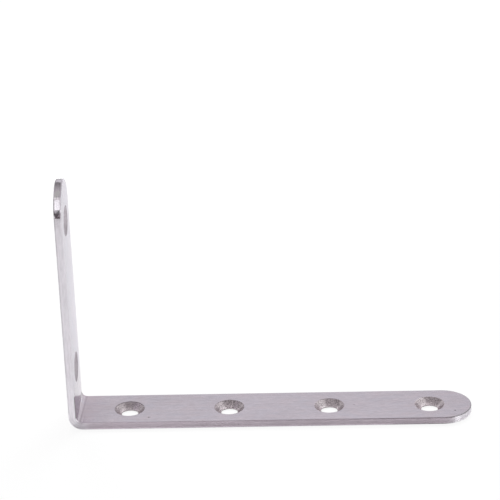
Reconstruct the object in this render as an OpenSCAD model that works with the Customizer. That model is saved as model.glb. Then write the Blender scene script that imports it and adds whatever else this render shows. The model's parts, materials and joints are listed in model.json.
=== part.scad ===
// Corner brace: a flat metal strip with round ends, folded square into a long leg that lies flat and a
// short leg that stands up. Screw holes run down the middle of both legs, countersunk on the inner side.

/* [Strip] */
// Width of the strip
strip_w = 18; // [14:0.5:30]
// Thickness of the strip
strip_t = 2.4; // [1.6:0.1:4]
// Rounding of the strip's edges on the inner side of the fold
inner_edge_r = 0.3; // [0.1:0.05:0.7]
// Rounding of the strip's edges on the outer side of the fold
outer_edge_r = 0.5; // [0.1:0.05:0.8]

/* [Legs] */
// Length of the long leg, from the outside of the fold to its round end
long_leg = 125; // [90:1:250]
// Length of the short leg, from the outside of the fold to its round end
short_leg = 80; // [60:1:200]
// Radius inside the fold
fold_r = 1.9; // [1:0.1:5]

/* [Screw holes] */
// Number of holes in the long leg
long_holes = 4; // [2:1:4]
// Number of holes in the short leg
short_holes = 2; // [2:1:3]
// Distance from the outside of the fold to the first hole of the long leg
long_first_hole = 18.25; // [14:0.25:30]
// Distance from the outside of the fold to the first hole of the short leg
short_first_hole = 17.5; // [14:0.25:30]
// Distance from the last hole of each leg to its round end
last_hole_to_end = 13; // [8:0.5:20]
// Diameter of each hole
hole_d = 5.2; // [3:0.1:6.5]
// Diameter of each countersink's cone
countersink_d = 9; // [7:0.1:12]
// Angle between opposite sides of each countersink
countersink_angle = 100; // [80:1:120]
// Width of the broken edge around each countersink
rim_break_w = 0.2; // [0.05:0.05:0.5]
// Depth of the broken edge around each countersink
rim_break_h = 0.1; // [0.05:0.05:0.3]
// Width of the broken edge where each hole meets the outer face
bore_break = 0.45; // [0.1:0.05:0.6]

/* [Hidden] */
$fn = 96;

half_w = strip_w / 2;
fold_outer_r = fold_r + strip_t;
hole_r = hole_d / 2;
countersink_r = countersink_d / 2;
countersink_h = (countersink_r - hole_r) / tan(countersink_angle / 2) + rim_break_h;
// How far a hole's cutting shape runs past both faces of the strip
cut_over = countersink_h;

// Section of the strip: across its width along X, from its outer face at y = 0 to its inner face
module strip_section() {
    translate([-half_w, outer_edge_r])
        square([strip_w, strip_t - outer_edge_r - inner_edge_r]);
    edge_band(outer_edge_r, 0);
    edge_band(inner_edge_r, strip_t - inner_edge_r);
    for (side = [-1, 1]) {
        translate([side * (half_w - outer_edge_r), outer_edge_r])
            circle(r = outer_edge_r);
        translate([side * (half_w - inner_edge_r), strip_t - inner_edge_r])
            circle(r = inner_edge_r);
    }
}

// Straight band between two rounded edges of radius r, starting at height y
module edge_band(r, y)
    translate([r - half_w, y])
        square([strip_w - 2 * r, r]);

// One half of the strip's section, to revolve into a round end
module half_section()
    intersection() {
        strip_section();
        square([half_w, strip_t]);
    }

// A leg that lies along +X on its outer face, measured from the outside of the fold
module leg(length) {
    translate([fold_outer_r, 0, 0])
        rotate([90, 0, 90])
            linear_extrude(length - half_w - fold_outer_r)
                strip_section();
    translate([length - half_w, 0, 0])
        rotate([0, 0, -90])
            rotate_extrude(angle = 180)
                half_section();
}

// Quarter turn between the two legs
module fold()
    translate([fold_outer_r, 0, fold_outer_r])
        rotate([90, 0, 0])
            rotate_extrude(angle = 90, start = 180)
                translate([fold_outer_r, 0])
                    rotate(90)
                        strip_section();

// Turns what lies along +X so that it stands along +Z, with its outer face at x = 0
module stand_up()
    rotate([0, -90, 180])
        children();

// Cutting shape of one hole, on the axis of revolution: hole, cone and the broken edge at both faces
module screw_hole()
    rotate_extrude() {
        polygon([
            [0, -cut_over],
            [hole_r, -cut_over],
            [hole_r, strip_t - countersink_h],
            [countersink_r, strip_t - rim_break_h],
            [countersink_r + rim_break_w, strip_t],
            [countersink_r + rim_break_w, strip_t + cut_over],
            [0, strip_t + cut_over]
        ]);
        polygon([
            [0, -cut_over],
            [hole_r + bore_break, -cut_over],
            [hole_r + bore_break, 0],
            [hole_r, bore_break],
            [0, bore_break]
        ]);
    }

// Evenly spaced holes along a leg that lies along +X
module screw_holes(length, count, first_hole) {
    pitch = (length - first_hole - last_hole_to_end) / (count - 1);
    for (i = [0:count - 1])
        translate([first_hole + i * pitch, 0, 0])
            screw_hole();
}

// The whole brace, with the middle of the long leg's underside at the origin
module corner_brace()
    color("silver")
        translate([-long_leg / 2, 0, 0])
            difference() {
                union() {
                    leg(long_leg);
                    fold();
                    stand_up() leg(short_leg);
                }
                screw_holes(long_leg, long_holes, long_first_hole);
                stand_up() screw_holes(short_leg, short_holes, short_first_hole);
            }

corner_brace();
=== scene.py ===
"""Looks of a folded corner brace in a white studio: brushed faces, sheared edges and countersunk holes."""

import json
import math

import bpy
import numpy as np
from mathutils import Matrix, Vector


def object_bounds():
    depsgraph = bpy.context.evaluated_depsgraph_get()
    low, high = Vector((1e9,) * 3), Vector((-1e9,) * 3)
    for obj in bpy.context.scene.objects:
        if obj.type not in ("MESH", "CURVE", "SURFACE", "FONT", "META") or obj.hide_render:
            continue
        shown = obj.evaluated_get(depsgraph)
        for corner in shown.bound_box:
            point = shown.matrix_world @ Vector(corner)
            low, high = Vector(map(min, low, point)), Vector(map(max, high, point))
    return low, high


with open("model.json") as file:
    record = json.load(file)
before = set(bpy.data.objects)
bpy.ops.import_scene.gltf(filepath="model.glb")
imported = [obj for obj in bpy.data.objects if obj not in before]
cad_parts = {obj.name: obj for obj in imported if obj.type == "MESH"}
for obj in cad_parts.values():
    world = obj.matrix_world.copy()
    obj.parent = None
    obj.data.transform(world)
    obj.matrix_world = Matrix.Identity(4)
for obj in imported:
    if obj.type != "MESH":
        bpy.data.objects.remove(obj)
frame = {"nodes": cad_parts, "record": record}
cad_low, cad_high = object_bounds()

# Sizes of the strip and its holes, in metres
STRIP_T = 0.0024
FOLD_R = 0.0019
RIM_R = 0.0047
RIM_BREAK = 0.0001
SINK_FOOT = 0.0007
HALF_W = (cad_high.y - cad_low.y) / 2
FOLD_OUTER_R = FOLD_R + STRIP_T
FOLD_X = cad_low.x + FOLD_OUTER_R
FOLD_Z = cad_low.z + FOLD_OUTER_R

# Lengths along the unrolled strip, from where the long leg leaves the fold. The short leg lies below zero.
FOLD_LENGTH = (FOLD_R + STRIP_T / 2) * math.pi / 2
LONG_END = cad_high.x - HALF_W - FOLD_X
SHORT_END = -(cad_high.z - HALF_W - FOLD_Z + FOLD_LENGTH)
SHORT_START = -FOLD_LENGTH

# A mark is a change of brightness: darker below zero, lighter above it. Its blur, start or end gives the
# two places, in metres, between which it comes or goes. Two marks together belong to the two ends of a
# stretch.

# Grain: how often each noise changes per metre, along the strip, across it and through it
HAIRLINES = (120, 5000, 5000)
LINES = (500, 2600, 2600)
STREAKS = (60, 2600, 2600)
CLOUDS = (170, 380, 380)
DRIFT = (30, 60, 60)
DRIFT_TONES = (0.97, 1.03)
FACE_LINES = 0.08
EDGE_LINES = 0.07
HAIRLINE_HEIGHT = 0.000003
GLOSS_SPREAD = (0.85, 1.15)

# Faces. The long leg darkens towards its end and the short leg has painted shade towards its end.
# The short leg is bluer and the fold redder.
LONG_LEG_DARKER_FROM = 0.085
LONG_LEG_DARKER = -0.08
PAINTED_SHORT_SHADE_FROM = -0.038
PAINTED_SHORT_SHADE = -0.14
SHORT_LEG_TINT = (0.99, 0.995, 1.03)
SHORT_LEG_TINT_BLUR = (SHORT_START - 0.012, SHORT_START - 0.008)
FOLD_TINT = (0.98, 0.942, 0.947)
FOLD_TINT_END = (0.002, 0.007)
FACE_SLANT = 0.77

# Small pits on the long leg's inner face: place along and across the unrolled strip, and share of the
# full mark. Their depth is in hairlines.
PITS = ((0.0203, -0.0058, 1), (0.0842, 0.0002, 0.5), (0.1154, -0.0045, 1))
PIT_BLUR = (0.00016, 0.0004)
PIT_MARK = -0.55
PIT_DEPTH = 8

# Fold. A dark line of painted shade runs inside it, a little askew and stronger at the front. Where the
# fold meets the short leg, it has a painted shadow at the back and a painted glint at the front. From the
# short leg to a little way along the long leg, the front has painted shade and the back faint painted
# light.
# The short leg has painted light just above the fold.
INNER_HALF = (STRIP_T * 0.4, STRIP_T * 0.6)
FOLD_LEAN = 0.05
FOLD_SHADE_LINE = -0.00103
FOLD_SHADE_LINE_BLUR = (0.00015, 0.0008)
FOLD_SHADE_LINE_MARKS = (-0.28, -0.14)
FOLD_SHADOW = -0.5
FOLD_SHADOW_ACROSS = (HALF_W / 3, HALF_W)
FOLD_SHADOW_START = (SHORT_START - 0.0002, SHORT_START)
FOLD_SHADOW_END = (-0.0036, -0.003)
FOLD_GLINT = 0.28
FOLD_GLINT_ACROSS = (0, HALF_W / 2)
FOLD_GLINT_START = (SHORT_START - 0.002, SHORT_START - 0.0005)
FOLD_GLINT_END = (-0.0042, -0.0034)
FRONT_SHADE_MARKS = (-0.1, 0.04)
FRONT_SHADE_END = (0, 0.012)
ABOVE_FOLD = 0.13
ABOVE_FOLD_START = (SHORT_START - 0.014, SHORT_START - 0.002)
ABOVE_FOLD_END = (SHORT_START, SHORT_START / 2)

# Long leg's edge, by depth from the outer face: a dark foot of painted contact shadow, a burnished band, a
# dull break that is partly fracture and partly painted shade, and a thin corner at the inner face with
# faint painted light along the straight and painted shade near the end and round it. Round the end the
# bands are weaker.
FOOT_TONES = (0.55, 1.25)
FOOT_BLUR = (0.0001, 0.0002)
BREAK_TONE = 0.59
BREAK_BLUR = (0.0005, 0.0007)
CORNER_BLUR = (STRIP_T - 0.0003, STRIP_T - 0.0002)
END_CORNER_MARKS = (0.1, -0.8)
END_CORNER_BLUR = (LONG_END, LONG_END + 0.003)
LONG_EDGE_START = (SHORT_START / 2, 0.003)
STRAIGHT_END = (LONG_END, LONG_END + 0.004)
ROUND_SHARE = 0.6
LONG_EDGE_TINT = (0.99, 0.91, 0.95)
LONG_EDGE_TINT_BLUR = (0.0002, 0.0005)
CORNER_LINE = -0.22
CORNER_LINE_START = (0.08, 0.092)
# Near the end its foot has painted contact shadow, and the end itself a painted highlight
CONTACT_SHADOW_MARKS = (-0.55, -0.02)
CONTACT_SHADOW_BLUR = (0.0003, 0.0006)
CONTACT_SHADOW_START = (LONG_END - 0.02, LONG_END - 0.014)
END_HIGHLIGHT = 0.14
END_HIGHLIGHT_START = (LONG_END + 0.001, LONG_END + 0.004)

# Short leg's edge: painted shade in the inner corner just above the fold and a darker outer corner
CORNER_SHADE = -0.65
CORNER_SHADE_AT = SHORT_START - 0.0035
CORNER_SHADE_BLUR = (0.0035, 0.0042)
OUTER_CORNER = -0.22
OUTER_CORNER_BLUR = (0.0003, 0.0005)
OUTER_CORNER_END = (SHORT_START - 0.002, SHORT_START)

# Painted reflection on the short leg's round end, as lengths along the edge from where the rounding
# starts, all with ragged borders: a darker stretch, a dark band and a crown that is light at its start and
# dark towards the top. The punch left this end smoother, but for its inner corner.
RAGGED_BORDERS = (500, 500, 1600)
BORDER_RAGGEDNESS = 0.0014
EARLY_DARK = -0.27
EARLY_DARK_START = (-0.004, 0)
EARLY_DARK_END = (0.0003, 0.0012)
END_DARK_BAND = -0.62
END_DARK_BAND_AT = 0.0021
END_DARK_BAND_BLUR = (0.0005, 0.001)
CROWN_MARKS = (0.6, -0.48)
CROWN_START = (0.0065, 0.0075)
CROWN_DARKENS = (0.0079, 0.0126)
CROWN_END = (0.013, 0.0137)
CROWN_TOP_SHARE = -0.2
UNPUNCHED_CORNER = (STRIP_T - 0.0006, STRIP_T - 0.0003)
PUNCHED_ROUGHNESS = 0.36
PUNCHED_BLUR = (SHORT_END - 0.0005, SHORT_END + 0.002)

# Countersinks: how often chatter, turning lines and specks change, round the cone or per metre. Cones
# and rims carry painted shade and light: the rims are shaded and turn light towards the long leg's end,
# and the cones brighten towards it. The long leg's middle holes have the strongest specks.
# The short leg's cones are bluer, brighter and rougher, with specks in relief and gloss alone.
CHATTER = (9, 9, 250)
TURNING = (1.5, 1.5, 7000)
TURNING_SHARE = 0.5
SPECKS = (3000, 3000, 3000)
SPECK_MARKS = (-0.42, 0.42)
SPECK_RANGE = (0.35, 0.65)
SPECK_HEIGHT = 0.000012
OUTER_HOLE_SPECKS = 0.75
OUTER_HOLES = (0.022, 0.04)
CONE_ROUGHNESS = (0.24, 0.36)
CONE_FOOT = 0.45
CONE_FOOT_BLUR = (SINK_FOOT, SINK_FOOT + 0.0007)
CONE_MARKS = (-0.07, 0.08)
RIM_MARKS = (-0.4, 0.3)
RIM_BLUR = (STRIP_T - RIM_BREAK * 1.1, STRIP_T - RIM_BREAK * 0.9)
SHORT_CONE_TINT = (0.98, 1.01, 1.03)
SHORT_CONE_MARK = 0.095
SHORT_CONE_ROUGHER = 0.25
SHORT_CONE_END = (FOLD_X, FOLD_X + 0.001)
# Moves the marks in each hole apart, so that no two holes look alike
HOLE_SPREAD = 300

# Walls of the holes
DRAG = (12, 12, 300)
DRAG_HEIGHT = 0.000004
DRAG_GLOSS_SPREAD = (1.2, 0.8)

# The view: place in metres, angles in degrees, focal length in millimetres on a 36 mm square sensor
CAMERA_AT = (0.01672, -0.58112, 0.3187)
CAMERA_YAW = -2.127
CAMERA_PITCH = 24.298
CAMERA_ROLL = -1.948
CAMERA_LENS = 151.97
SENSOR = 36.0

# The studio: strength of the even light, the shares of plain white that the floor shows to the camera
# and in gloss, and the gap that keeps the floor just under the brace
FILL = 0.45
FLOOR_COLOR = (0.92, 0.92, 0.92)
FLOOR_SEEN_WHITE = 0.9
FLOOR_GLOSS_WHITE = 0.15
FLOOR_SIZE = 8
FLOOR_GAP = 0.00005
CARD_BLEND = (-0.1, 0.05)

FACE, EDGE, BORE, SINK = range(4)


def hole_axes():
    """Centre and direction of every screw hole, from the record's bolt patterns."""
    holes = []
    for mount in frame["record"]["mounts"]:
        if mount["kind"] != "bolt_pattern":
            continue
        dims = mount["dims"]
        axis = Vector(mount["axis"])
        along = Vector((1, 0, 0)) if axis.z else Vector((0, 0, 1))
        spacing = dims.get("spacing_x_mm") or dims.get("spacing_y_mm")
        for side in (-0.5, 0.5):
            centre = Vector(mount["pos_m"]) + along * side * spacing / 1000
            holes.append((centre, axis))
    return holes


def strip_frame(p):
    """Where a point lies on the unrolled strip (along, across, depth from the outer face), with the strip's
    lengthwise direction and its thickness direction there."""
    if p.x >= FOLD_X:
        return Vector((p.x - FOLD_X, p.y, p.z - cad_low.z)), Vector((1, 0, 0)), Vector((0, 0, 1))
    if p.z >= FOLD_Z:
        place = Vector((FOLD_Z - p.z - FOLD_LENGTH, p.y, p.x - cad_low.x))
        return place, Vector((0, 0, -1)), Vector((1, 0, 0))
    inward = Vector((FOLD_X - p.x, 0, FOLD_Z - p.z))
    turn = math.atan2(inward.x, inward.z) / (math.pi / 2)
    depth = FOLD_OUTER_R - inward.length
    inward.normalize()
    return Vector((-turn * FOLD_LENGTH, p.y, depth)), Vector((inward.z, 0, -inward.x)), inward


def rim_place(place):
    """A place on the strip's edge as (length along the rim, side, depth)."""
    side = math.copysign(HALF_W, place.y)
    for end in (LONG_END, SHORT_END):
        beyond = math.copysign(1, end) * (place.x - end)
        if beyond > 0:
            length = math.copysign(HALF_W * math.atan2(beyond, abs(place.y)), end)
            return Vector((end + length, side, place.z))
    return Vector((place.x, side, place.z))


def hole_at(p, thickness, holes):
    """The screw hole whose countersink reaches a point, as its centre and direction."""
    for centre, axis in holes:
        offset = p - centre
        offset -= axis * offset.dot(axis)
        if axis.dot(thickness) > 0.9 and offset.length < RIM_R + 1e-5:
            return centre, axis
    return None


def surface_kind(face, holes):
    """Sorts a face of the brace into strip faces, edges, bores and countersinks."""
    thickness = strip_frame(face.center)[2]
    hole = hole_at(face.center, thickness, holes)
    if abs(face.normal.dot(thickness)) > 0.97:
        return FACE, None
    if not hole:
        return EDGE, None
    return (BORE if abs(face.normal.dot(hole[1])) < 0.1 else SINK), hole


def corner_marks(p, normal, kind, hole):
    """Texture place and grain direction of one corner of a face."""
    place, along, thickness = strip_frame(p)
    if kind == EDGE:
        round_the_rim = thickness.cross(normal)
        if round_the_rim.length > 0.1:
            along = round_the_rim.normalized()
        return rim_place(place), along
    if kind == FACE:
        return place, along
    centre, axis = hole
    offset = p - centre
    depth = offset.dot(axis)
    spoke = (offset - axis * depth).normalized()
    apart = centre.length * HOLE_SPREAD
    return Vector((spoke.dot(axis.yzx) + apart, spoke.dot(axis.zxy), depth)), axis.cross(spoke)


def mark_surfaces(piece):
    """Keeps each corner's texture place and grain direction, and returns the kind of every face."""
    mesh = piece.data
    holes = hole_axes()
    places = np.zeros((len(mesh.loops), 3), np.float32)
    grains = np.zeros((len(mesh.loops), 3), np.float32)
    kinds = np.zeros(len(mesh.polygons), np.int32)
    normals = mesh.corner_normals
    for face in mesh.polygons:
        kind, hole = surface_kind(face, holes)
        kinds[face.index] = kind
        for loop in face.loop_indices:
            p = mesh.vertices[mesh.loops[loop].vertex_index].co
            places[loop], grains[loop] = corner_marks(p, normals[loop].vector, kind, hole)
    for name, values in (("unrolled", places), ("grain", grains)):
        attribute = mesh.attributes.new(name, "FLOAT_VECTOR", "CORNER")
        attribute.data.foreach_set("vector", values.ravel())
    return kinds


class Nodes:
    """Short calls for building a node tree."""

    def __init__(self, tree):
        self.tree = tree
        tree.nodes.clear()

    def add(self, kind, **settings):
        node = self.tree.nodes.new(kind)
        for name, value in settings.items():
            setattr(node, name, value)
        return node

    def link(self, source, target):
        self.tree.links.new(source, target)

    def attribute(self, name):
        return self.add("ShaderNodeAttribute", attribute_name=name).outputs["Vector"]

    def math(self, operation, first, second):
        """A sum, product and so on of two values, each a socket or a number."""
        node = self.add("ShaderNodeMath", operation=operation)
        for socket, value in zip(node.inputs, (first, second)):
            if isinstance(value, (int, float)):
                socket.default_value = value
            else:
                self.link(value, socket)
        return node.outputs[0]

    def product(self, first, *others):
        for value in others:
            first = self.math("MULTIPLY", first, value)
        return first

    def total(self, first, *others):
        for value in others:
            first = self.math("ADD", first, value)
        return first

    def distance(self, value, middle):
        """How far a value is from a middle, to either side."""
        return self.math("ABSOLUTE", self.math("SUBTRACT", value, middle), 0)

    def brightness(self, *marks):
        """Marks that lie over each other, as one factor."""
        return self.product(*[self.math("ADD", mark, 1) for mark in marks])

    def axis(self, vector, name):
        """One part of a vector."""
        node = self.add("ShaderNodeSeparateXYZ")
        self.link(vector, node.inputs[0])
        return node.outputs[name]

    def noise(self, vector, scale, detail, roughness=0.5):
        """Noise around 0.5 in a space that is stretched along each axis."""
        stretch = self.add("ShaderNodeVectorMath", operation="MULTIPLY")
        stretch.inputs[1].default_value = scale
        self.link(vector, stretch.inputs[0])
        node = self.add("ShaderNodeTexNoise")
        node.inputs["Scale"].default_value = 1
        node.inputs["Detail"].default_value = detail
        node.inputs["Roughness"].default_value = roughness
        self.link(stretch.outputs[0], node.inputs["Vector"])
        return node.outputs[0]

    def remap(self, value, low, high, start=0.3, end=0.7):
        """A value spread from one range to another, without leaving it."""
        node = self.add("ShaderNodeMapRange")
        self.link(value, node.inputs["Value"])
        limits = (("From Min", start), ("From Max", end), ("To Min", low), ("To Max", high))
        for name, limit in limits:
            node.inputs[name].default_value = limit
        return node.outputs[0]

    def between(self, factor, first, second):
        """A colour between two, by a factor."""
        node = self.add("ShaderNodeMix", data_type="RGBA")
        self.link(factor, node.inputs["Factor"])
        node.inputs["A"].default_value = (*first, 1)
        node.inputs["B"].default_value = (*second, 1)
        return node.outputs["Result"]

    def tinted(self, color, tint, factor):
        """A colour times a tint, by a factor."""
        node = self.add("ShaderNodeMix", data_type="RGBA", blend_type="MULTIPLY")
        self.link(factor, node.inputs["Factor"])
        self.link(color, node.inputs["A"])
        node.inputs["B"].default_value = (*tint, 1)
        return node.outputs["Result"]

    def shaded(self, color, brightness):
        """A colour times a grey value."""
        node = self.add("ShaderNodeVectorMath", operation="SCALE")
        self.link(color, node.inputs[0])
        self.link(brightness, node.inputs["Scale"])
        return node.outputs[0]

    def bump(self, height, distance):
        node = self.add("ShaderNodeBump")
        node.inputs["Strength"].default_value = 1
        node.inputs["Distance"].default_value = distance
        self.link(height, node.inputs["Height"])
        return node.outputs[0]


def new_material(name):
    material = bpy.data.materials.new(name)
    material.use_nodes = True
    return material, Nodes(material.node_tree)


def steel_shader(nodes, color, roughness, normal, anisotropic, slant=1.0):
    """Bare steel with its gloss drawn out across the grain, and its own brightness when seen at a slant."""
    out = nodes.add("ShaderNodeOutputMaterial")
    shader = nodes.add("ShaderNodeBsdfPrincipled")
    shader.inputs["Metallic"].default_value = 1
    shader.inputs["Anisotropic"].default_value = anisotropic
    shader.inputs["Anisotropic Rotation"].default_value = 0.25
    shader.inputs["Specular Tint"].default_value = (slant, slant, slant, 1)
    nodes.link(color, shader.inputs["Base Color"])
    nodes.link(roughness, shader.inputs["Roughness"])
    nodes.link(normal, shader.inputs["Normal"])
    nodes.link(nodes.attribute("grain"), shader.inputs["Tangent"])
    nodes.link(shader.outputs[0], out.inputs[0])


def grain(nodes, place, mauve, grey, contrast):
    """Short fine lines along the strip with a faint drift of colour: colour, brightness and height."""
    hairline = nodes.noise(place, HAIRLINES, 2)
    line = nodes.noise(place, LINES, 3, 0.6)
    streak = nodes.noise(place, STREAKS, 1)
    cloud = nodes.noise(place, CLOUDS, 3)
    drift = nodes.noise(place, DRIFT, 2)
    color = nodes.between(nodes.remap(cloud, 0, 1), mauve, grey)
    shade = nodes.product(
        nodes.remap(line, 1 - contrast, 1 + contrast),
        nodes.remap(drift, *DRIFT_TONES),
        nodes.remap(streak, 1 - contrast / 2, 1 + contrast / 2),
    )
    return color, shade, hairline


def grain_gloss(nodes, hairline, roughness):
    """Roughness that varies from one hairline to the next."""
    return nodes.remap(hairline, *[roughness * share for share in GLOSS_SPREAD])


def clean_of_pits(nodes, place):
    """1 on the clean face and less in the small pits."""
    clean = []
    for along, across, share in PITS:
        gap = nodes.add("ShaderNodeVectorMath", operation="DISTANCE")
        nodes.link(place, gap.inputs[0])
        gap.inputs[1].default_value = (along, across, STRIP_T)
        clean.append(nodes.remap(gap.outputs["Value"], 1 - share, 1, *PIT_BLUR))
    return nodes.product(*clean)


def fold_marks(nodes, along, across, depth):
    """The painted dark line, painted shadow and painted glint on the fold's inner side, and the painted
    shade at the front.
    """
    leaning = nodes.math("SUBTRACT", along, nodes.product(across, FOLD_LEAN))
    line = nodes.product(
        nodes.remap(nodes.distance(leaning, FOLD_SHADE_LINE), 1, 0, *FOLD_SHADE_LINE_BLUR),
        nodes.remap(across, *FOLD_SHADE_LINE_MARKS, -HALF_W, HALF_W),
    )
    shadow = nodes.product(
        nodes.remap(leaning, 1, 0, *FOLD_SHADOW_END),
        nodes.remap(along, 0, 1, *FOLD_SHADOW_START),
        nodes.remap(across, 0, FOLD_SHADOW, *FOLD_SHADOW_ACROSS),
    )
    glint = nodes.product(
        nodes.remap(leaning, FOLD_GLINT, 0, *FOLD_GLINT_END),
        nodes.remap(across, 1, 0, *FOLD_GLINT_ACROSS),
        nodes.remap(along, 0, 1, *FOLD_GLINT_START),
    )
    front_shade = nodes.product(
        nodes.remap(across, *FRONT_SHADE_MARKS, -HALF_W, HALF_W),
        nodes.remap(along, 1, 0, *FRONT_SHADE_END),
    )
    inside = nodes.remap(depth, 0, 1, *INNER_HALF)
    return [nodes.product(mark, inside) for mark in (line, shadow, glint, front_shade)]


def above_fold(nodes, along):
    """Painted light on the start of the short leg."""
    rise = nodes.remap(along, 0, ABOVE_FOLD, *ABOVE_FOLD_START)
    return nodes.product(rise, nodes.remap(along, 1, 0, *ABOVE_FOLD_END))


def brushed_steel(name, mauve, grey, roughness, anisotropic):
    """The strip's faces: brushed lengthwise, with painted shade, a painted shadow and painted light about
    the fold, a darker long end, painted shade at the short end and a few pits.
    """
    material, nodes = new_material(name)
    place = nodes.attribute("unrolled")
    along, across, depth = (nodes.axis(place, letter) for letter in "XYZ")
    color, shade, hairline = grain(nodes, place, mauve, grey, FACE_LINES)
    color = nodes.tinted(color, SHORT_LEG_TINT, nodes.remap(along, 1, 0, *SHORT_LEG_TINT_BLUR))
    by_fold = nodes.product(
        nodes.remap(along, 0, 1, SHORT_START, 0),
        nodes.remap(along, 1, 0, *FOLD_TINT_END),
    )
    color = nodes.tinted(color, FOLD_TINT, by_fold)
    clean = clean_of_pits(nodes, place)
    marks = nodes.brightness(
        # darker towards the long leg's end, and painted shade towards the short leg's end
        nodes.remap(along, 0, LONG_LEG_DARKER, LONG_LEG_DARKER_FROM, LONG_END + HALF_W),
        nodes.remap(along, PAINTED_SHORT_SHADE, 0, SHORT_END, PAINTED_SHORT_SHADE_FROM),
        nodes.remap(clean, PIT_MARK, 0, 0, 1),
        # painted light just above the fold
        above_fold(nodes, along),
        # painted shade, shadow and glint in the fold, and painted shade at its front
        *fold_marks(nodes, along, across, depth),
    )
    color = nodes.shaded(color, nodes.product(shade, marks))
    height = nodes.total(hairline, nodes.product(clean, PIT_DEPTH))
    normal = nodes.bump(height, HAIRLINE_HEIGHT)
    steel_shader(nodes, color, grain_gloss(nodes, hairline, roughness), normal, anisotropic, FACE_SLANT)
    return material


def inner_corner(nodes, depth):
    """1 on the thin corner between the edge and the inner face, 0 elsewhere."""
    return nodes.remap(depth, 0, 1, *CORNER_BLUR)


def long_edge(nodes, along):
    """1 on the long leg's edge, with its round end and without it."""
    whole = nodes.remap(along, 0, 1, *LONG_EDGE_START)
    return whole, nodes.product(whole, nodes.remap(along, 1, 0, *STRAIGHT_END))


def shear_bands(nodes, along, depth):
    """The foot of painted contact shadow, the burnished band, the dull break that is partly painted shade,
    and the corner with painted light and shade, along the long leg's edge.
    """
    # painted light along the straight corner and painted shade round the end
    end_corner = nodes.product(
        inner_corner(nodes, depth),
        nodes.remap(along, *END_CORNER_MARKS, *END_CORNER_BLUR),
    )
    bands = nodes.product(
        # the dark foot is painted contact shadow and the dull break is partly painted shade
        nodes.remap(depth, *FOOT_TONES, *FOOT_BLUR),
        nodes.remap(depth, 1, BREAK_TONE, *BREAK_BLUR),
        nodes.brightness(end_corner),
    )
    whole, straight = long_edge(nodes, along)
    strength = nodes.total(nodes.product(whole, ROUND_SHARE), nodes.product(straight, 1 - ROUND_SHARE))
    return nodes.product(nodes.math("SUBTRACT", bands, 1), strength)


def long_edge_marks(nodes, along, depth):
    """The painted dark line near the long leg's end, the painted contact shadow under it and the painted
    highlight on the end.
    """
    line = nodes.product(inner_corner(nodes, depth), nodes.remap(along, 0, CORNER_LINE, *CORNER_LINE_START))
    # painted contact shadow at the foot near the end
    contact_shadow = nodes.product(
        nodes.remap(along, 0, 1, *CONTACT_SHADOW_START),
        long_edge(nodes, along)[1],
        nodes.remap(depth, *CONTACT_SHADOW_MARKS, *CONTACT_SHADOW_BLUR),
    )
    # the last mark is a painted highlight on the end
    return line, contact_shadow, nodes.remap(along, 0, END_HIGHLIGHT, *END_HIGHLIGHT_START)


def short_edge_marks(nodes, along, depth):
    """The painted shade in the inner corner above the fold and the darker outer corner of the short leg."""
    # painted shade in the inner corner above the fold
    corner_shade = nodes.product(
        nodes.remap(nodes.distance(along, CORNER_SHADE_AT), CORNER_SHADE, 0, *CORNER_SHADE_BLUR),
        inner_corner(nodes, depth),
    )
    outer = nodes.product(
        nodes.remap(depth, 1, 0, *OUTER_CORNER_BLUR),
        nodes.remap(along, OUTER_CORNER, 0, *OUTER_CORNER_END),
    )
    return corner_shade, outer


def end_reflection(nodes, place, along, depth):
    """Painted reflection at the short leg's round end: the darker stretch, the dark band and the ragged
    crown.
    """
    ragged = nodes.remap(nodes.noise(place, RAGGED_BORDERS, 2), -BORDER_RAGGEDNESS / 2, BORDER_RAGGEDNESS / 2)
    beyond = nodes.total(nodes.math("SUBTRACT", SHORT_END, along), ragged)
    crown = nodes.product(
        nodes.remap(beyond, *CROWN_MARKS, *CROWN_DARKENS),
        nodes.remap(beyond, 0, 1, *CROWN_START),
        nodes.remap(beyond, 1, CROWN_TOP_SHARE, *CROWN_END),
    )
    end_band = nodes.remap(nodes.distance(beyond, END_DARK_BAND_AT), END_DARK_BAND, 0, *END_DARK_BAND_BLUR)
    early_dark = nodes.product(
        nodes.remap(beyond, 0, EARLY_DARK, *EARLY_DARK_START),
        nodes.remap(beyond, 1, 0, *EARLY_DARK_END),
    )
    off_corner = nodes.remap(depth, 1, 0, *UNPUNCHED_CORNER)
    return nodes.product(nodes.total(crown, end_band, early_dark), off_corner)


def sheared_edge(name, mauve, grey, roughness, anisotropic):
    """The strip's edges, with bands of shearing and painted shade on the long leg and a painted reflection
    on the short leg's end.
    """
    material, nodes = new_material(name)
    place = nodes.attribute("unrolled")
    along, depth = (nodes.axis(place, letter) for letter in "XZ")
    color, shade, hairline = grain(nodes, place, mauve, grey, EDGE_LINES)
    above_foot = nodes.remap(depth, 0, 1, *LONG_EDGE_TINT_BLUR)
    color = nodes.tinted(color, LONG_EDGE_TINT, nodes.product(long_edge(nodes, along)[1], above_foot))
    marks = nodes.brightness(
        shear_bands(nodes, along, depth),
        *long_edge_marks(nodes, along, depth),
        *short_edge_marks(nodes, along, depth),
        above_fold(nodes, along),
        # painted reflection on the short leg's round end
        end_reflection(nodes, place, along, depth),
    )
    smooth = nodes.math(
        "MAXIMUM",
        nodes.remap(along, PUNCHED_ROUGHNESS, 1, *PUNCHED_BLUR),
        nodes.remap(depth, 0, 1, *UNPUNCHED_CORNER),
    )
    rough = nodes.product(grain_gloss(nodes, hairline, roughness), smooth)
    normal = nodes.bump(hairline, HAIRLINE_HEIGHT)
    steel_shader(nodes, nodes.shaded(color, nodes.product(shade, marks)), rough, normal, anisotropic)
    return material


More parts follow.
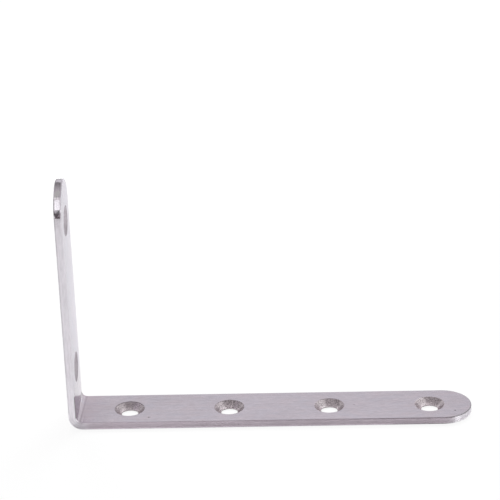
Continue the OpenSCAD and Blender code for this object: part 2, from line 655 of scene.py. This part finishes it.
def punched_steel(name, color, roughness, contrast):
    """The wall of a punched hole, with drag lines along it."""
    material, nodes = new_material(name)
    place = nodes.attribute("unrolled")
    drag = nodes.noise(place, DRAG, 3, 0.6)
    dark = [c * (1 - contrast) for c in color]
    tint = nodes.between(nodes.remap(drag, 0, 1), dark, color)
    rough = nodes.remap(drag, *[roughness * share for share in DRAG_GLOSS_SPREAD])
    steel_shader(nodes, tint, rough, nodes.bump(drag, DRAG_HEIGHT), 0)
    return material


def countersunk_steel(name, dark, light):
    """Cut steel with chatter marks down the cone, turning lines round it and fine specks."""
    material, nodes = new_material(name)
    place = nodes.attribute("unrolled")
    depth = nodes.axis(place, "Z")
    here = nodes.add("ShaderNodeTexCoord").outputs["Object"]
    x = nodes.axis(here, "X")
    chatter = nodes.noise(place, CHATTER, 3, 0.7)
    turning = nodes.noise(place, TURNING, 2)
    speckle = nodes.noise(here, SPECKS, 1)
    short_leg = nodes.remap(x, 1, 0, *SHORT_CONE_END)
    pitted = nodes.product(
        nodes.remap(nodes.distance(x, 0), 1, OUTER_HOLE_SPECKS, *OUTER_HOLES),
        nodes.math("SUBTRACT", 1, short_leg),
    )
    # painted shade on the rims, turning to painted light towards the long leg's end
    rim_mark = nodes.remap(x, *RIM_MARKS, FOLD_X, FOLD_X + LONG_END)
    marks = nodes.brightness(
        nodes.product(nodes.remap(depth, 0, 1, *RIM_BLUR), rim_mark),
        nodes.remap(depth, CONE_FOOT, 0, *CONE_FOOT_BLUR),
        nodes.product(short_leg, SHORT_CONE_MARK),
        # painted light: the cones brighten towards the long leg's end
        nodes.remap(x, *CONE_MARKS, FOLD_X, FOLD_X + LONG_END),
        nodes.product(nodes.remap(speckle, *SPECK_MARKS, *SPECK_RANGE), pitted),
    )
    color = nodes.between(nodes.remap(chatter, 0, 1), dark, light)
    color = nodes.shaded(nodes.tinted(color, SHORT_CONE_TINT, short_leg), marks)
    rough = nodes.total(nodes.remap(speckle, *CONE_ROUGHNESS), nodes.product(short_leg, SHORT_CONE_ROUGHER))
    height = nodes.total(speckle, nodes.product(turning, TURNING_SHARE))
    steel_shader(nodes, color, rough, nodes.bump(height, SPECK_HEIGHT), 0)
    return material


def dress(piece):
    """Gives every surface of the brace its own finish."""
    kinds = mark_surfaces(piece)
    piece.data.materials.clear()
    for material in (
        brushed_steel("brushed_face", (0.772, 0.712, 0.76), (0.742, 0.712, 0.776), 0.22, 0.6),
        sheared_edge("sheared_edge", (0.765, 0.725, 0.775), (0.75, 0.725, 0.77), 0.36, 1.0),
        punched_steel("punched_bore", (0.52, 0.47, 0.49), 0.35, 0.2),
        countersunk_steel("countersink", (0.475, 0.424, 0.445), (0.55, 0.498, 0.52)),
    ):
        piece.data.materials.append(material)
    piece.data.polygons.foreach_set("material_index", kinds)


def white_share(nodes, seen, mirrored):
    """How much plain white each kind of ray sees: from the camera and through glass, or from gloss."""
    path = nodes.add("ShaderNodeLightPath")
    looked_at = nodes.math("MAXIMUM", path.outputs["Is Camera Ray"], path.outputs["Is Transmission Ray"])
    in_gloss = nodes.product(path.outputs["Is Glossy Ray"], mirrored)
    return nodes.math("MAXIMUM", nodes.product(looked_at, seen), in_gloss)


def make_world():
    """Even light, with plain white for what looks straight into it."""
    world = bpy.data.worlds.new("studio")
    bpy.context.scene.world = world
    world.use_nodes = True
    nodes = Nodes(world.node_tree)
    out = nodes.add("ShaderNodeOutputWorld")
    mix = nodes.add("ShaderNodeMixShader")
    fill = nodes.add("ShaderNodeBackground")
    fill.inputs["Color"].default_value = (1, 1, 1, 1)
    fill.inputs["Strength"].default_value = FILL
    white = nodes.add("ShaderNodeBackground")
    white.inputs["Color"].default_value = (1, 1, 1, 1)
    nodes.link(white_share(nodes, 1, 1), mix.inputs[0])
    nodes.link(fill.outputs[0], mix.inputs[1])
    nodes.link(white.outputs[0], mix.inputs[2])
    nodes.link(mix.outputs[0], out.inputs[0])


def make_floor():
    """A wide white floor, just under the brace, that keeps a faint shadow."""
    bpy.ops.mesh.primitive_plane_add(size=FLOOR_SIZE, location=(0, 0, cad_low.z - FLOOR_GAP))
    floor = bpy.context.object
    floor.name = "floor"
    material, nodes = new_material("floor_white")
    out = nodes.add("ShaderNodeOutputMaterial")
    mix = nodes.add("ShaderNodeMixShader")
    lit = nodes.add("ShaderNodeBsdfDiffuse")
    lit.inputs["Color"].default_value = (*FLOOR_COLOR, 1)
    white = nodes.add("ShaderNodeEmission")
    nodes.link(white_share(nodes, FLOOR_SEEN_WHITE, FLOOR_GLOSS_WHITE), mix.inputs[0])
    nodes.link(lit.outputs[0], mix.inputs[1])
    nodes.link(white.outputs[0], mix.inputs[2])
    nodes.link(mix.outputs[0], out.inputs[0])
    floor.data.materials.append(material)


def make_card(name, at, turn, size, left, right=None):
    """A plain card that only reflections see, in one colour or with a soft change from left to right, with
    its place and size in metres and its turn in degrees."""
    bpy.ops.mesh.primitive_plane_add(size=1, location=at, rotation=[math.radians(a) for a in turn])
    card = bpy.context.object
    card.name = name
    card.scale = (*size, 1)
    card.visible_camera = False
    card.visible_diffuse = False
    card.visible_shadow = False
    card.visible_transmission = False
    material, nodes = new_material(name)
    out = nodes.add("ShaderNodeOutputMaterial")
    glow = nodes.add("ShaderNodeEmission")
    glow.inputs["Color"].default_value = (*left, 1)
    if right:
        across = nodes.axis(nodes.add("ShaderNodeTexCoord").outputs["Object"], "X")
        blend = nodes.remap(across, 0, 1, *CARD_BLEND)
        nodes.link(nodes.between(blend, left, right), glow.inputs["Color"])
    nodes.link(glow.outputs[0], out.inputs[0])
    card.data.materials.append(material)


def plain_white(strength):
    """The colour of a white card of some strength."""
    return strength, strength, strength


def make_softbox(name, azimuth, elevation, distance, size, radiance):
    """A square lamp that faces the brace and lights the floor, unseen in reflections."""
    a, e = math.radians(azimuth), math.radians(elevation)
    toward = Vector((math.sin(a) * math.cos(e), -math.cos(a) * math.cos(e), math.sin(e)))
    lamp = bpy.data.lights.new(name, "AREA")
    lamp.size = size
    lamp.energy = radiance * math.pi * size * size
    lamp_object = bpy.data.objects.new(name, lamp)
    lamp_object.location = toward * distance
    lamp_object.rotation_euler = toward.to_track_quat("Z", "Y").to_euler()
    lamp_object.visible_camera = False
    lamp_object.visible_glossy = False
    bpy.context.scene.collection.objects.link(lamp_object)


def make_cards():
    """The room that the steel reflects: two windows, grey walls and ceilings, and a dark table edge."""
    upright = (90, 0, 0)
    level = (0, 0, 0)
    make_card("front_window", (-0.118, -0.44, 0.455), upright, (0.09, 0.5), plain_white(1.55))
    dim, bright = plain_white(2.4), plain_white(3.8)
    make_card("low_right_window", (0.577, -0.392, 0.1), (82, 0, 62), (0.3, 0.2), dim, bright)
    make_card("front_wall", (0.25, -0.45, 0.4), upright, (0.9, 0.6), (0.5, 0.48, 0.5))
    make_card("front_table_edge", (0, -0.38, 0.0005), level, (1.2, 0.16), (0.16, 0.13, 0.14))
    make_card("front_dark_band", (-0.1, -0.46, 0.05), upright, (1.2, 0.1), (0.33, 0.29, 0.31))
    make_card("left_wall", (-0.7, 0.1, 0.4), (90, 0, 90), (0.8, 0.8), (0.5, 0.48, 0.49))
    make_card("left_back_card", (-0.45, 0.75, 0.08), (90, 0, 30), (0.5, 0.3), (0.35, 0.33, 0.34))
    make_card("right_back_card", (0.57, 0.4, 0.1), (90, 0, 125), (0.6, 0.35), (0.55, 0.52, 0.54))
    make_card("front_ceiling", (-0.17, -0.37, 0.715), level, (1.05, 0.16), (0.75, 0.72, 0.73))
    make_card("ceiling", (-0.17, 0.2, 0.72), level, (1.05, 1.3), (0.4, 0.38, 0.39))
    left_grey, right_grey = (0.685, 0.665, 0.69), (0.738, 0.714, 0.744)
    make_card("back_wall", (0, 0.85, 0.36), upright, (1.6, 0.72), left_grey, right_grey)


def make_studio():
    make_world()
    make_floor()
    make_softbox("back_softbox", azimuth=180, elevation=55, distance=0.9, size=0.6, radiance=7.7)
    make_cards()


def make_camera():
    data = bpy.data.cameras.new("camera")
    data.sensor_width = SENSOR
    data.lens = CAMERA_LENS
    camera = bpy.data.objects.new("camera", data)
    yaw, pitch, roll = (math.radians(a) for a in (CAMERA_YAW, CAMERA_PITCH, CAMERA_ROLL))
    camera.matrix_world = (
        Matrix.Translation(CAMERA_AT)
        @ Matrix.Rotation(-yaw, 4, "Z")
        @ Matrix.Rotation(math.pi / 2 - pitch, 4, "X")
        @ Matrix.Rotation(roll, 4, "Z")
    )
    bpy.context.scene.collection.objects.link(camera)
    bpy.context.scene.camera = camera


dress(frame["nodes"]["corner_brace"])
make_studio()
make_camera()
bpy.context.scene.view_settings.view_transform = "Standard"
